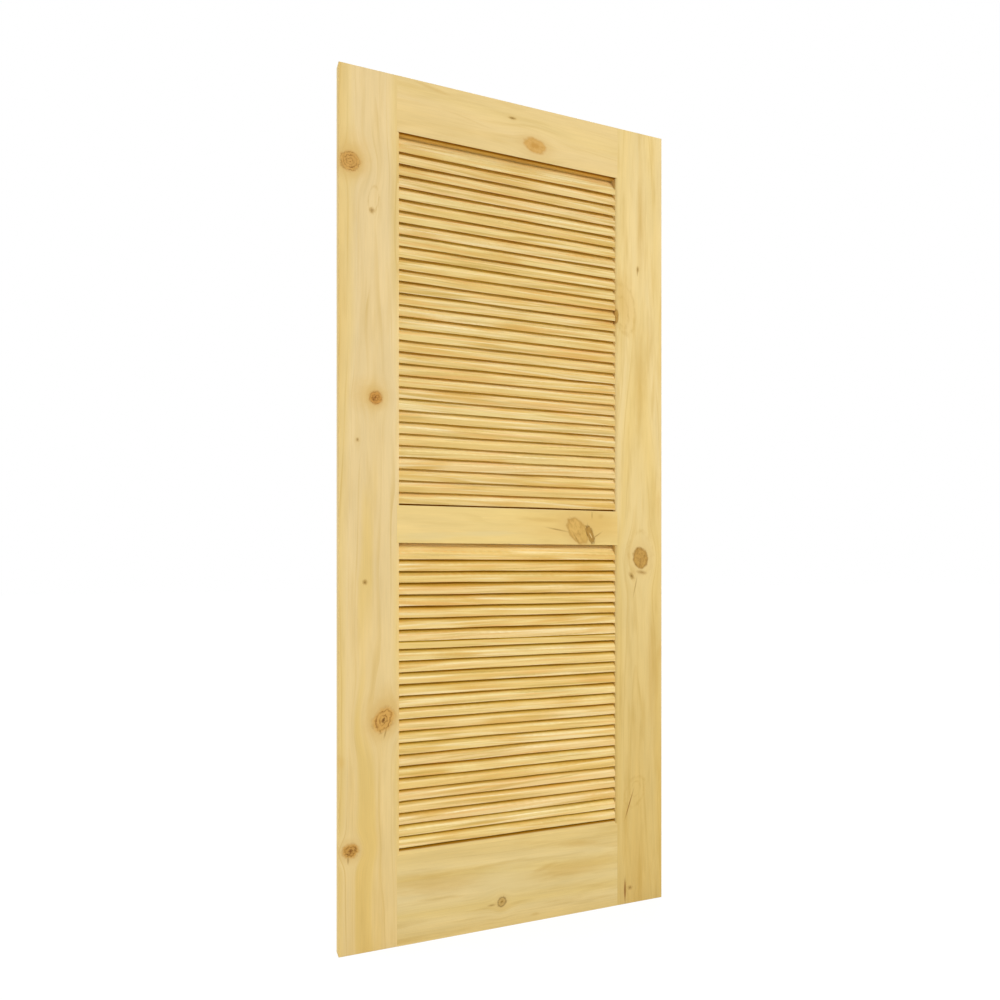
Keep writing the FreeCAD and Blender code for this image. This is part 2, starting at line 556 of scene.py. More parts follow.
@dataclass(frozen=True)
class PlanedPine:
    """Bare pine board, planed and sanded: pale and matt, with a few soft growth lines and knots.

    zones gives the wood's colour by its distance from the pith, in millimetres. foot is the tint laid
    over the colour towards the floor. pith is a point on the middle of the trunk and lean turns the trunk
    against the board, in radians. ring is the width of a growth ring and swing how far the rings wander, in
    millimetres. recess gives the painted shade on the edge next to the slats, by depth in millimetres, and
    recess_shade_span the heights between which that edge lies.
    """

    name: str
    grain: Grain
    zones: Tints
    line: str
    foot: str
    pith: Point
    lean: Point = (0.0, 0.0, 0.0)
    ring: float = 10.0
    swing: float = 16.0
    line_share: float = 0.5
    blotch: float = 0.05
    wisps: float = 0.25
    recess_shade: Tints = ()
    recess_shade_span: tuple[float, float] = (0.0, 0.0)
    marks: tuple[Mark, ...] = ()

    # Largest distance from the pith that the zones reach, in millimetres
    TRUNK = 160.0

    # Darkness across one growth ring, from early wood to late wood
    RING_SHADE = ((0.0, "#404040"), (0.1, "#000000"), (0.5, "#202020"), (0.8, "#606060"), (0.93, WHITE))

    # Noise levels between which each pattern sets in
    LINES_SHOW = {"From Min": 0.4, "From Max": 0.68}
    WISPS_SHOW = {"From Min": 0.5, "From Max": 0.75}
    LEVELS = {"From Min": 0.25, "From Max": 0.75}

    # Most that the fibres lighten or darken the wood
    FIBRE_SWING = 0.025

    # Share of the leaf's height below which the foot's tint sets in
    FOOT_SHARE = 0.7

    # Relief of the grain: how much of it shows, and its depth in millimetres
    RELIEF_SHOWN = 0.3
    RELIEF_DEPTH = 0.4

    def material(self) -> bpy.types.Material:
        """Build the board's node material.

        Returns:
            The finished material.
        """
        material, tree = blank_material(self.name)
        place = place_on_leaf(tree)
        flowed = place
        for mark in self.marks:
            if mark.kind.value.flow:
                flowed = mark.bent(tree, place, flowed, self.grain)
        colour, relief = self._wood(tree, flowed)
        colour = self._toned(tree, place, colour)
        for mark in self.marks:
            colour, relief = mark.laid(tree, place, colour, relief)
        if self.recess_shade:
            colour = self._painted_edge_shade(tree, place, colour)
        planed_surface(tree, colour, relief, self.RELIEF_SHOWN, self.RELIEF_DEPTH)
        return material

    def _wood(self, tree: Tree, flowed: Socket) -> tuple[Socket, Socket]:
        """Colour zones, growth lines, blotches and fibres of the clear wood.

        Args:
            tree: The material's node tree.
            flowed: Position bent round the knots.

        Returns:
            The colour and the relief of the wood.
        """
        noise = {pattern: pattern.noise(tree, flowed, self.grain, self.pith) for pattern in BoardPattern}
        trunk = add(
            tree, "Mapping", {"Vector": flowed, "Location": self.pith, "Rotation": self.lean},
            vector_type="TEXTURE",
        )
        trunk = add(tree, "VectorMath", {0: trunk, 1: self.grain.section()}, operation="MULTIPLY")
        radius = add(tree, "VectorMath", {0: trunk}, out="Value", operation="LENGTH")
        wander = noise[BoardPattern.WOBBLE]
        wander = add(tree, "Math", {0: wander, 1: NOISE_MEAN}, operation="SUBTRACT")
        radius = add(tree, "Math", {0: wander, 1: self.swing * 2, 2: radius}, operation="MULTIPLY_ADD")
        share = add(tree, "Math", {0: radius, 1: self.TRUNK}, operation="DIVIDE")
        colour = add(
            tree, "ValToRGB", {"Fac": share},
            stops=[(reach / self.TRUNK, zone) for reach, zone in self.zones],
        )
        phase = add(tree, "Math", {0: radius, 1: self.ring}, operation="DIVIDE")
        phase = add(tree, "Math", {0: phase}, operation="FRACT")
        late = add(tree, "ValToRGB", {"Fac": phase}, stops=self.RING_SHADE)
        lines = add(
            tree, "MapRange",
            {"Value": noise[BoardPattern.PRESENCE], **self.LINES_SHOW, "To Max": self.line_share},
        )
        lines = add(tree, "Math", {0: lines, 1: late}, operation="MULTIPLY")
        wisps = add(
            tree, "MapRange",
            {"Value": noise[BoardPattern.WISP], **self.WISPS_SHOW, "To Max": self.wisps},
        )
        shown = add(tree, "Math", {0: lines, 1: wisps}, operation="MAXIMUM")
        colour = add(tree, "Mix", {0: shown, 6: colour, 7: linear(self.line)}, data_type="RGBA")
        for pattern, swing in ((BoardPattern.BLOTCH, self.blotch), (BoardPattern.FIBRE, self.FIBRE_SWING)):
            level = add(
                tree, "MapRange",
                {"Value": noise[pattern], **self.LEVELS, "To Min": 1 - swing, "To Max": 1 + swing},
            )
            colour = add(tree, "VectorMath", {0: colour, "Scale": level}, operation="SCALE")
        relief = add(tree, "Math", {0: late, 1: noise[BoardPattern.FIBRE]}, operation="ADD")
        return colour, relief

    def _toned(self, tree: Tree, place: Socket, colour: Socket) -> Socket:
        """Tint the colour darker towards the foot of the leaf.

        Args:
            tree: The material's node tree.
            place: Position in millimetres.
            colour: Colour of the wood so far.

        Returns:
            The deepened colour.
        """
        height = add(tree, "SeparateXYZ", {"Vector": place}, out="Z")
        low = add(
            tree, "MapRange",
            {"Value": height, "From Min": LEAF_HEIGHT * self.FOOT_SHARE, "From Max": 0.0},
            interpolation_type="SMOOTHSTEP",
        )
        tint = add(tree, "Mix", {0: low, 6: linear(WHITE), 7: linear(self.foot)}, data_type="RGBA")
        return add(tree, "Mix", {0: 1.0, 6: colour, 7: tint}, data_type="RGBA", blend_type="MULTIPLY")

    def _painted_edge_shade(self, tree: Tree, place: Socket, colour: Socket) -> Socket:
        """Paint shade onto the edge next to the slats, but not onto the board's other edge.

        Args:
            tree: The material's node tree.
            place: Position in millimetres.
            colour: Colour of the wood so far.

        Returns:
            The colour with the painted shade on that edge.
        """
        depth = add(tree, "SeparateXYZ", {"Vector": place}, out="Y")
        height = add(tree, "SeparateXYZ", {"Vector": place}, out="Z")
        low, high = self.recess_shade_span
        middle = (low + high) / 2
        reach = (high - low) / 2
        near = add(tree, "Math", {0: height, 1: middle, 2: reach}, operation="COMPARE")
        tinted = painted_shade_by_depth(tree, depth, self.recess_shade, colour)
        return add(tree, "Mix", {0: near, 6: colour, 7: tinted}, data_type="RGBA")


@dataclass(frozen=True)
class SlatBand:
    """One kind of coloured band along the slats.

    share is how much of the colour shows, and start and full are the noise levels between which the
    band sets in.
    """

    pattern: SlatPattern
    colour: str
    share: float
    start: float = 0.52
    full: float = 0.68


@dataclass(frozen=True)
class SlatPine:
    """Pine slats ripped from many boards: golden and matt, each with its own tone and slanting bands.

    recess gives the painted shade deep between the slats, by depth in the leaf in millimetres from the
    middle, and nose the painted shade on their front edges.
    """

    name: str
    recess_shade: Tints
    # Painted shade on the slats' front edges
    nose_shade: str = "#F0E9DD"

    # Tones that the slats take by chance
    TONES = ((0.0, "#F2D58A"), (0.3, "#F6DC95"), (0.55, "#F9E5A4"), (0.8, "#F8DDA2"), (1.0, "#F1D78C"))
    BANDS = (
        SlatBand(SlatPattern.PATCH, "#E6BF68", 0.85, 0.48, 0.72),
        SlatBand(SlatPattern.PALE, "#FFEFBE", 0.85),
        SlatBand(SlatPattern.OLIVE, "#D6B868", 0.75),
        SlatBand(SlatPattern.ORANGE, "#F0BE70", 0.6),
    )

    # How the fibres lighten and darken the wood
    FINE = {"From Min": 0.3, "From Max": 0.7, "To Min": 0.96, "To Max": 1.04}

    # Millimetres between the patterns, and between one slat's wood and the next
    PATTERN_STEP = 977.0
    APART = (7900.0, 410.0, 630.0)

    # Most that the bands drift across a slat along its length
    SLANT = 0.09

    # Depths in millimetres between which the painted shade on the front edges sets in
    NOSE_SHADE_SPAN = {"From Min": -13.2, "From Max": -13.8}

    # Relief of the grain: how much of it shows, and its depth in millimetres
    RELIEF_SHOWN = 0.2
    RELIEF_DEPTH = 0.3

    def material(self) -> bpy.types.Material:
        """Build the node material that all slats of a field share.

        Returns:
            The finished material.
        """
        material, tree = blank_material(self.name)
        place = place_on_leaf(tree)
        seed = add(tree, "Attribute", out="Fac", attribute_name=SLAT_SEED)
        board = self._own_board(tree, place, seed)
        noise = {}
        for number, pattern in enumerate(SlatPattern):
            start = (number * self.PATTERN_STEP, 0.0, 0.0)
            noise[pattern] = pattern.noise(tree, board, Grain.LEVEL, start)
        own = add(tree, "TexWhiteNoise", {"W": seed}, out="Value", noise_dimensions="1D")
        tone = add(tree, "ValToRGB", {"Fac": own}, stops=self.TONES)
        for band in self.BANDS:
            shown = add(
                tree, "MapRange",
                {
                    "Value": noise[band.pattern], "From Min": band.start, "From Max": band.full,
                    "To Max": band.share,
                },
            )
            tone = add(tree, "Mix", {0: shown, 6: tone, 7: linear(band.colour)}, data_type="RGBA")
        fine = add(tree, "MapRange", {"Value": noise[SlatPattern.FIBRE], **self.FINE})
        tone = add(tree, "VectorMath", {0: tone, "Scale": fine}, operation="SCALE")
        tone = self._shaded(tree, place, tone)
        planed_surface(tree, tone, noise[SlatPattern.FIBRE], self.RELIEF_SHOWN, self.RELIEF_DEPTH)
        return material

    def _own_board(self, tree: Tree, place: Socket, seed: Socket) -> Socket:
        """Move and slant the pattern for each slat, as if each came from a board of its own.

        Args:
            tree: The material's node tree.
            place: Position in millimetres.
            seed: The slat's own number between zero and one.

        Returns:
            The position to read the slat's patterns at.
        """
        apart = add(tree, "VectorMath", {0: self.APART, "Scale": seed}, operation="SCALE")
        slant = add(tree, "TexWhiteNoise", {"W": seed}, out="Color", noise_dimensions="1D")
        slant = add(tree, "SeparateXYZ", {"Vector": slant}, out="Z")
        slant = add(tree, "Math", {0: slant, 1: NOISE_MEAN}, operation="SUBTRACT")
        along = add(tree, "SeparateXYZ", {"Vector": place}, out="X")
        drift = add(tree, "Math", {0: along, 1: slant}, operation="MULTIPLY")
        drift = add(tree, "Math", {0: drift, 1: self.SLANT}, operation="MULTIPLY")
        drift = add(tree, "CombineXYZ", {"Z": drift})
        board = add(tree, "VectorMath", {0: place, 1: apart}, operation="ADD")
        return add(tree, "VectorMath", {0: board, 1: drift}, operation="ADD")

    def _shaded(self, tree: Tree, place: Socket, tone: Socket) -> Socket:
        """Paint shade deep between the slats and onto their front edges.

        Args:
            tree: The material's node tree.
            place: Position in millimetres.
            tone: Colour of the wood so far.

        Returns:
            The colour with both painted shades.
        """
        depth = add(tree, "SeparateXYZ", {"Vector": place}, out="Y")
        # How many times as fast the painted shade deep between the slats sets in behind each slat's front
        # edge
        shade_rate = add(tree, "Attribute", out="Fac", attribute_name=SLAT_SHADE_RATE)
        inside = add(tree, "Math", {0: depth, 1: SLAT_FRONT}, operation="SUBTRACT")
        inside = add(tree, "Math", {0: inside, 1: shade_rate, 2: SLAT_FRONT}, operation="MULTIPLY_ADD")
        tone = painted_shade_by_depth(tree, inside, self.recess_shade, tone)
        nose_shade = add(tree, "MapRange", {"Value": depth, **self.NOSE_SHADE_SPAN})
        tint = add(tree, "Mix", {0: nose_shade, 6: linear(WHITE), 7: linear(self.nose_shade)}, data_type="RGBA")
        return add(tree, "Mix", {0: 1.0, 6: tone, 7: tint}, data_type="RGBA", blend_type="MULTIPLY")


def finish_piece(
    bm: bmesh.types.BMesh, name: str, material: bpy.types.Material, nodes: Sequence[str]
) -> bpy.types.Object:
    """Turn a bmesh into a piece that rides on the leaf and stands for its nodes.

    Args:
        bm: The finished shape, in metres, in place.
        name: Name of the piece.
        material: Its finish.
        nodes: The nodes that it stands for.

    Returns:
        The new object.
    """
    bmesh.ops.recalc_face_normals(bm, faces=bm.faces[:])
    mesh = bpy.data.meshes.new(name)
    bm.to_mesh(mesh)
    bm.free()
    mesh.materials.append(material)
    piece = bpy.data.objects.new(name, mesh)
    bpy.context.scene.collection.objects.link(piece)
    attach(piece, BODY)
    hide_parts(*nodes)
    LOG.info("%s: %d faces, stands for %s", name, len(mesh.polygons), ", ".join(nodes))
    return piece


def extruded(bm: bmesh.types.BMesh, outline: Sequence[Point], along: Vector) -> list[bmesh.types.BMVert]:
    """Extrude a flat outline into a closed solid.

    Args:
        bm: The bmesh that gets the solid.
        outline: Corners of the outline, in metres.
        along: Direction and length of the extrusion.

    Returns:
        The vertices of the solid.
    """
    base = bm.faces.new([bm.verts.new(corner) for corner in outline])
    first = list(base.verts)
    made = bmesh.ops.extrude_face_region(bm, geom=[base], use_keep_orig=True)["geom"]
    far = [part for part in made if isinstance(part, bmesh.types.BMVert)]
    bmesh.ops.translate(bm, verts=far, vec=along)
    return first + far


def ease(bm: bmesh.types.BMesh, edges: Iterable[bmesh.types.BMEdge], width: float = ARRIS) -> None:
    """Round the given arrises by a width in millimetres."""
    bmesh.ops.bevel(
        bm, geom=list(edges), offset=width * MM, segments=ARRIS_STEPS, profile=0.5, affect="EDGES",
        clamp_overlap=True, material=-1,
    )


@dataclass
class Stile:
    """One upright board of the leaf, its inner edge eased on both faces."""

    node: str
    finish: PlanedPine
    inner_right: bool

    def build(self) -> bmesh.types.BMesh:
        """Model the stile.

        Returns:
            The board, in place.
        """
        low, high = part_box(self.node)
        outer, inner = (low.x, high.x) if self.inner_right else (high.x, low.x)
        inward = math.copysign(1.0, inner - outer)
        eased = inner - inward * EASING_WIDTH * MM
        depth = EASING_DEPTH * MM
        outline = [
            (outer, low.y, low.z),
            (eased, low.y, low.z),
            (inner, low.y + depth, low.z),
            (inner, high.y - depth, low.z),
            (eased, high.y, low.z),
            (outer, high.y, low.z),
        ]
        bm = bmesh.new()
        extruded(bm, outline, Vector((0, 0, high.z - low.z)))
        ease(bm, bm.edges[:])
        return bm

    def dress(self, bm: bmesh.types.BMesh) -> bpy.types.Object:
        """Give the model its pine and its place on the leaf."""
        return finish_piece(bm, f"{self.node}_board", self.finish.material(), [self.node])


@dataclass
class Rail:
    """One level board between the stiles, its shoulders scribed over their eased edges.

    sill is the y and z, in millimetres, from which the upper edge rises to the back with the slats.
    """

    node: str
    finish: PlanedPine
    sill: tuple[float, float] | None = None

    # Least share of the rail's length that an edge has to have to be eased
    LONG_SHARE = 0.9

    def build(self) -> bmesh.types.BMesh:
        """Model the rail.

        Returns:
            The board, in place.
        """
        low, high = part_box(self.node)
        left_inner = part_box("left_stile")[1].x
        right_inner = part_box("right_stile")[0].x
        over = EASING_WIDTH * MM
        depth = EASING_DEPTH * MM
        outline = [
            (left_inner - over, low.y, low.z),
            (right_inner + over, low.y, low.z),
            (right_inner, low.y + depth, low.z),
            (right_inner, high.y - depth, low.z),
            (right_inner + over, high.y, low.z),
            (left_inner - over, high.y, low.z),
            (left_inner, high.y - depth, low.z),
            (left_inner, low.y + depth, low.z),
        ]
        bm = bmesh.new()
        square = high.z if self.sill is None else self.sill[1] * MM
        extruded(bm, outline, Vector((0, 0, square - low.z)))
        if self.sill is not None:
            self._raise_sill(bm, high.z)
        least = (right_inner - left_inner) * self.LONG_SHARE
        ease(bm, [e for e in bm.edges if e.calc_length() > least], ARRIS / 2)
        return bm

    def dress(self, bm: bmesh.types.BMesh) -> bpy.types.Object:
        """Give the model its pine and its place on the leaf."""
        return finish_piece(bm, f"{self.node}_board", self.finish.material(), [self.node])

    def _raise_sill(self, bm: bmesh.types.BMesh, top: float) -> None:
        """Raise the upper edge behind the sill line and plane it to the slats' slope.

        Args:
            bm: The square board, as high as its front.
            top: Height of its back edge, in metres.
        """
        y, z = (part * MM for part in self.sill)
        angle = math.radians(SLAT_ANGLE)
        cap = [f for f in bm.faces if all(v.co.z > z - TOLERANCE for v in f.verts)]
        around = cap + [e for f in cap for e in f.edges] + [v for f in cap for v in f.verts]
        bmesh.ops.bisect_plane(bm, geom=list(dict.fromkeys(around)), plane_co=(0, y, z), plane_no=(0, 1, 0))
        cap = [f for f in bm.faces if all(v.co.z > z - TOLERANCE and v.co.y > y - TOLERANCE for v in f.verts)]
        raised = bmesh.ops.extrude_face_region(bm, geom=cap)["geom"]
        bmesh.ops.delete(bm, geom=cap, context="FACES_ONLY")
        lifted = [part for part in raised if isinstance(part, bmesh.types.BMVert)]
        bmesh.ops.translate(bm, verts=lifted, vec=(0, 0, top - z))
        block = [v for v in bm.verts if v.co.z > z - TOLERANCE and v.co.y > y - TOLERANCE]
        inside = set(block)
        block += [e for e in bm.edges if inside.issuperset(e.verts)]
        block += [f for f in bm.faces if inside.issuperset(f.verts)]
        bmesh.ops.bisect_plane(
            bm, geom=block, plane_co=(0, y, z), plane_no=(0, -math.sin(angle), math.cos(angle)),
            dist=TOLERANCE, clear_outer=True,
        )
        bmesh.ops.remove_doubles(bm, verts=bm.verts[:], dist=TOLERANCE)
        bmesh.ops.edgeloop_fill(bm, edges=[e for e in bm.edges if e.is_boundary])


@dataclass
class SlatField:
    """A field of fixed slats, two to each node, sloping down to the front.

    closeness tells, for slats counted from the top, how many times as fast the painted shade deep
    between the slats sets in on them, where that differs from the rest. Sizes are in millimetres: seat is
    how far the slats reach into the stiles, arris how far their edges are eased, and bow the most that one
    wave lifts or lowers them.
    """

    prefix: str
    count: int
    finish: SlatPine
    seed: int
    shade_rate: dict[int, float]
    seat: float = 3.0
    arris: float = 0.35
    bow: float = 0.6
    stretches: int = 24
    waves: int = 7

    # How fast the shorter waves of the bow get lower
    WAVE_FALL = 0.7

    def build(self) -> dict[str, bmesh.types.BMesh]:
        """Model every slat of the field.

        Returns:
            For each node, the model of its slats, in place.
        """
        chance = random.Random(self.seed)
        models = {}
        order = 0
        for number in range(1, self.count + 1):
            node = f"{self.prefix}_{number:02d}"
            bm = bmesh.new()
            bm.verts.layers.float.new(SLAT_SEED)
            bm.verts.layers.float.new(SLAT_SHADE_RATE)
            for section in self._sections(node):
                self._slat(bm, section, self.shade_rate.get(order, 1.0), chance)
                order += 1
            models[node] = bm
        return models

    def dress(self, models: dict[str, bmesh.types.BMesh]) -> list[bpy.types.Object]:
        """Give the models their pine and their place on the leaf.

        Args:
            models: The model of each node's slats.

        Returns:
            One piece for each node.
        """
        material = self.finish.material()
        pieces = []
        for node, bm in models.items():
            pieces.append(finish_piece(bm, f"{node}_boards", material, [node]))
        return pieces

    @staticmethod
    def _sections(node: str) -> list[list[tuple[float, float]]]:
        """Cross sections of a node's slats, read from its solids.

        Args:
            node: Name of the node.

        Returns:
            For each slat, its corners as (y, z), in order round the section.
        """
        low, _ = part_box(node)
        bm = bmesh.new()
        bm.from_mesh(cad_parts[node].data)
        bmesh.ops.remove_doubles(bm, verts=bm.verts[:], dist=TOLERANCE)
        ends = [v for v in bm.verts if abs(v.co.x - low.x) < TOLERANCE]
        sections = []
        while ends:
            group = [ends.pop()]
            for vert in group:
                near = [e.other_vert(vert) for e in vert.link_edges if e.other_vert(vert) in ends]
                ends = [v for v in ends if v not in near]
                group.extend(near)
            middle = sum((v.co for v in group), Vector()) / len(group)
            corners = [(v.co.y, v.co.z) for v in group]
            corners.sort(key=lambda c: math.atan2(c[1] - middle.z, c[0] - middle.y))
            sections.append(corners)
        bm.free()
        return sorted(sections, key=lambda corners: -min(z for _, z in corners))

    @staticmethod
    def _lengthwise(verts: Iterable[bmesh.types.BMVert]) -> list[bmesh.types.BMEdge]:
        """Edges at the given vertices that run along the slat, in the same order in every run."""
        edges = dict.fromkeys(e for v in verts for e in v.link_edges)
        return [e for e in edges if abs(e.verts[0].co.x - e.verts[1].co.x) > MM]

    def _slat(
        self,
        bm: bmesh.types.BMesh,
        section: list[tuple[float, float]],
        shade_rate: float,
        chance: random.Random,
    ) -> None:
        """Add one slat with eased arrises and a slight bow.

        Args:
            bm: The bmesh of its node's piece.
            section: Corners of the slat's section.
            shade_rate: How many times as fast the painted shade between the slats sets in on it, one being
                usual.
            chance: Source of the small differences between slats.
        """
        seed_layer = bm.verts.layers.float[SLAT_SEED]
        shade_rate_layer = bm.verts.layers.float[SLAT_SHADE_RATE]
        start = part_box("left_stile")[1].x - self.seat * MM
        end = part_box("right_stile")[0].x + self.seat * MM
        outline = [(start, y, z) for y, z in section]
        corners = extruded(bm, outline, Vector((end - start, 0, 0)))
        ease(bm, self._lengthwise(corners), self.arris)
        # Only the new slat's vertices have no seed yet
        lengths = self._lengthwise(v for v in bm.verts if not v[seed_layer])
        bmesh.ops.subdivide_edges(bm, edges=lengths, cuts=self.stretches, use_grid_fill=True)
        waves = []
        for turns in range(1, self.waves + 1):
            waves.append((chance.uniform(-self.bow, self.bow) * MM / turns ** self.WAVE_FALL, turns))
        seed = 1.0 - chance.random()
        for vert in [v for v in bm.verts if not v[seed_layer]]:
            along = (vert.co.x - start) / (end - start)
            vert.co.z += sum(height * math.sin(math.pi * turns * along) for height, turns in waves)
            vert[seed_layer] = seed
            vert[shade_rate_layer] = shade_rate


@dataclass(frozen=True)
class Viewpoint:
    """Camera worked out from where the leaf's upright edges lie in the photograph.

    Pixels are in the 1000 by 1000 frame. The principal point is the one free choice.
    """

    frame_size: float = 1000.0
    left_x: float = 338.56
    left_top: float = 61.05
    left_foot: float = 957.79
    right_x: float = 661.57
    right_top: float = 138.74
    right_foot: float = 897.08
    principal_x: float = 700.0
    sensor_width: float = 36.0

    def place(self) -> bpy.types.Object:
        """Make the scene's camera.

        Returns:
            The camera object.
        """
        tall = LEAF_HIGH.z - LEAF_LOW.z
        wide = LEAF_HIGH.x - LEAF_LOW.x
        left_length = self.left_foot - self.left_top
        right_length = self.right_foot - self.right_top
        skew = 1 / right_length - 1 / left_length
        left_offset = self.left_x - self.principal_x
        right_offset = self.right_x - self.principal_x
        level = right_offset / right_length - left_offset / left_length
        turn = math.acos(level * tall / wide)
        focal = math.sin(turn) * wide / tall / skew
        distance = focal * tall / left_length
        aside = left_offset / focal * distance
        horizon = self._horizon()
        forward = Vector((math.sin(turn), math.cos(turn), 0))
        right = Vector((math.cos(turn), -math.sin(turn), 0))
        edge = Vector((LEAF_LOW.x, LEAF_LOW.y, 0))
        spot = edge - forward * distance - right * aside
        spot.z = LEAF_LOW.z + (self.left_foot - horizon) / left_length * tall
        data = bpy.data.cameras.new("camera")
        data.sensor_width = self.sensor_width
        data.lens = focal / self.frame_size * data.sensor_width
        data.shift_x = 0.5 - self.principal_x / self.frame_size
        data.shift_y = horizon / self.frame_size - 0.5
        camera = bpy.data.objects.new("camera", data)
        camera.location = spot
        camera.rotation_euler = (math.pi / 2, 0, -turn)
        bpy.context.scene.collection.objects.link(camera)
        bpy.context.scene.camera = camera
        LOG.info("camera at %s, turned %.2f degrees, lens %.2f mm", spot[:], math.degrees(turn), data.lens)
        return camera

    def _horizon(self) -> float:
        """Height in pixels where the leaf's level lines meet."""
        top_rate = self.right_top - self.left_top
        foot_rate = self.right_foot - self.left_foot
        share = (self.left_foot - self.left_top) / (top_rate - foot_rate)
        return self.left_top + top_rate * share


@dataclass(frozen=True)
class Studio:
    """Plain soft studio: white floor and backdrop, a softbox at the upper right and weak even fill.

    Strengths are what a face square to the lamp gets, so that about three in all shows colours as written.
    Lengths are in metres.
    """

    key_place: Point = (1.5, -3.2, 2.5)
    key_size: float = 1.2
    key_strength: float = 1.58
    side_strength: float = 1.2
    back_strength: float = 1.0
    fill_strength: float = 0.57
    lamp_spread: float = 30.0
    floor_half_width: float = 30.0

    # Paper that lights the leaf as a pale floor, and looks white to the eye but for the leaf's shadow
    PAPER = "#C0C0BE"
    PAPER_SEEN = "#626262"
    PAPER_GLOW = 0.9

    def build(self) -> None:
        """Make the floor, the lamps and the world."""
        self._floor()
        self._softbox()
        self._distant("side_lamp", self.side_strength, height=22.0, side=-105.0)
        self._distant("back_lamp", self.back_strength, height=40.0, side=160.0)
        self._world()
        bpy.context.scene.view_settings.view_transform = "Standard"

    def _softbox(self) -> None:
        """Add the square key lamp, aimed at the leaf's middle and as strong at its foot as at its top."""
        spot = Vector(self.key_place)
        way = (LEAF_LOW + LEAF_HIGH) / 2 - spot
        data = bpy.data.lights.new("softbox", "AREA")
        data.shape = "SQUARE"
        data.size = self.key_size
        data.energy = self.key_strength * math.pi
        data.use_nodes = True
        tree = data.node_tree
        tree.nodes.clear()
        even = add(tree, "LightFalloff", {"Strength": 1.0}, out="Constant")
        glow = add(tree, "Emission", {"Color": linear(WHITE), "Strength": even})
        add(tree, "OutputLight", {"Surface": glow})
        lamp = bpy.data.objects.new("softbox", data)
        lamp.location = spot
        lamp.rotation_euler = way.to_track_quat("-Z", "Y").to_euler()
        bpy.context.scene.collection.objects.link(lamp)

    def _distant(self, name: str, strength: float, height: float, side: float) -> None:
        """Add a distant lamp.

        Args:
            name: Name of the lamp.
            strength: What a face square to it gets.
            height: Its height over the floor, in degrees.
            side: Its side to the right of the front, in degrees.
        """
        data = bpy.data.lights.new(name, "SUN")
        data.energy = strength
        data.angle = math.radians(self.lamp_spread)
        lamp = bpy.data.objects.new(name, data)
        lamp.rotation_euler = (math.radians(90.0 - height), 0, math.radians(side))
        bpy.context.scene.collection.objects.link(lamp)

    @staticmethod
    def _seen(tree: Tree) -> Socket:
        """One for rays that show the surroundings to the eye, straight or in a reflection, and else zero."""
        seen = add(tree, "LightPath", out="Is Camera Ray")
        for ray in ("Is Glossy Ray", "Is Transmission Ray"):
            other = add(tree, "LightPath", out=ray)
            seen = add(tree, "Math", {0: seen, 1: other}, operation="MAXIMUM")
        return seen

    def _floor(self) -> None:
        """Add a wide pale floor that looks white but keeps a soft shadow."""
        bm = bmesh.new()
        bmesh.ops.create_grid(bm, x_segments=1, y_segments=1, size=self.floor_half_width)
        bmesh.ops.translate(bm, verts=bm.verts[:], vec=(0, 0, LEAF_LOW.z))
        mesh = bpy.data.meshes.new("floor")
        bm.to_mesh(mesh)
        bm.free()
        floor = bpy.data.objects.new("floor", mesh)
        bpy.context.scene.collection.objects.link(floor)
        material, tree = blank_material("white_paper_floor")
        matt = add(tree, "BsdfDiffuse", {"Color": linear(self.PAPER)})
        dark = add(tree, "BsdfDiffuse", {"Color": linear(self.PAPER_SEEN)})
        glow = add(tree, "Emission", {"Color": linear(WHITE), "Strength": self.PAPER_GLOW})
        lit = add(tree, "AddShader", {0: dark, 1: glow})
        mixed = add(tree, "MixShader", {0: self._seen(tree), 1: matt, 2: lit})
        add(tree, "OutputMaterial", {"Surface": mixed})
        mesh.materials.append(material)

    def _world(self) -> None:
        """Light evenly from all round, with a white backdrop for the eye."""
        world = bpy.data.worlds.new("studio")
        bpy.context.scene.world = world
        world.use_nodes = True
        tree = world.node_tree
        tree.nodes.clear()
        fill = add(tree, "Background", {"Color": linear(WHITE), "Strength": self.fill_strength})
        white = add(tree, "Background", {"Color": linear(WHITE), "Strength": 1.0})
        mixed = add(tree, "MixShader", {0: self._seen(tree), 1: fill, 2: white})
        add(tree, "OutputWorld", {"Surface": mixed})


# Pale and matt, with a golden band up the middle, paler sides and round orange knots
LEFT_STILE_PINE = PlanedPine(
    "planed_pine_left_stile",
    Grain.UPRIGHT,
    zones=(
        (66.0, "#E3C27A"), (74.0, "#E6C883"), (77.0, "#E8CD95"), (90.0, "#EAD09A"), (98.0, "#E8CC8C"),
        (110.0, "#E5C680"),
    ),
    line="#D0AC5C",
    foot="#FEFBEC",
    pith=(66.0, 54.0, 0.0),
    lean=(-0.006, 0.003, 0.0),
    marks=(
        Mark(MarkKind.BLUSH, 26, 205, 34, 42),
        Mark(MarkKind.ORANGE_KNOT, 24, 218, 22, 23, 30),
        Mark(MarkKind.LOOP, 74, 294, 11, 30, 6),
        Mark(MarkKind.GREY_KNOT, 71, 320, 5, 6),
        Mark(MarkKind.BLUSH, 66, 738, 34, 30),
        Mark(MarkKind.RED_KNOT, 79, 744, 14, 16),
        Mark(MarkKind.GREY_KNOT, 40, 842, 3, 4),
        Mark(MarkKind.PIN_KNOT, 56, 1163, 4.2, 5),
        Mark(MarkKind.BLUSH, 104, 1456, 34, 48, 20),
        Mark(MarkKind.EYED_KNOT, 96, 1477, 22, 29, 28),
        Mark(MarkKind.SHAKE, 100, 1508, 1.6, 10, 14),
        Mark(MarkKind.SHAKE, 89, 1503, 1.4, 5, -20),
        Mark(MarkKind.BLUSH, 5, 1566, 6, 12),
        Mark(MarkKind.TARGET_KNOT, 25, 1766, 17, 16),
        Mark(MarkKind.SHAKE, 20, 1786, 1.8, 8),
    ),
)

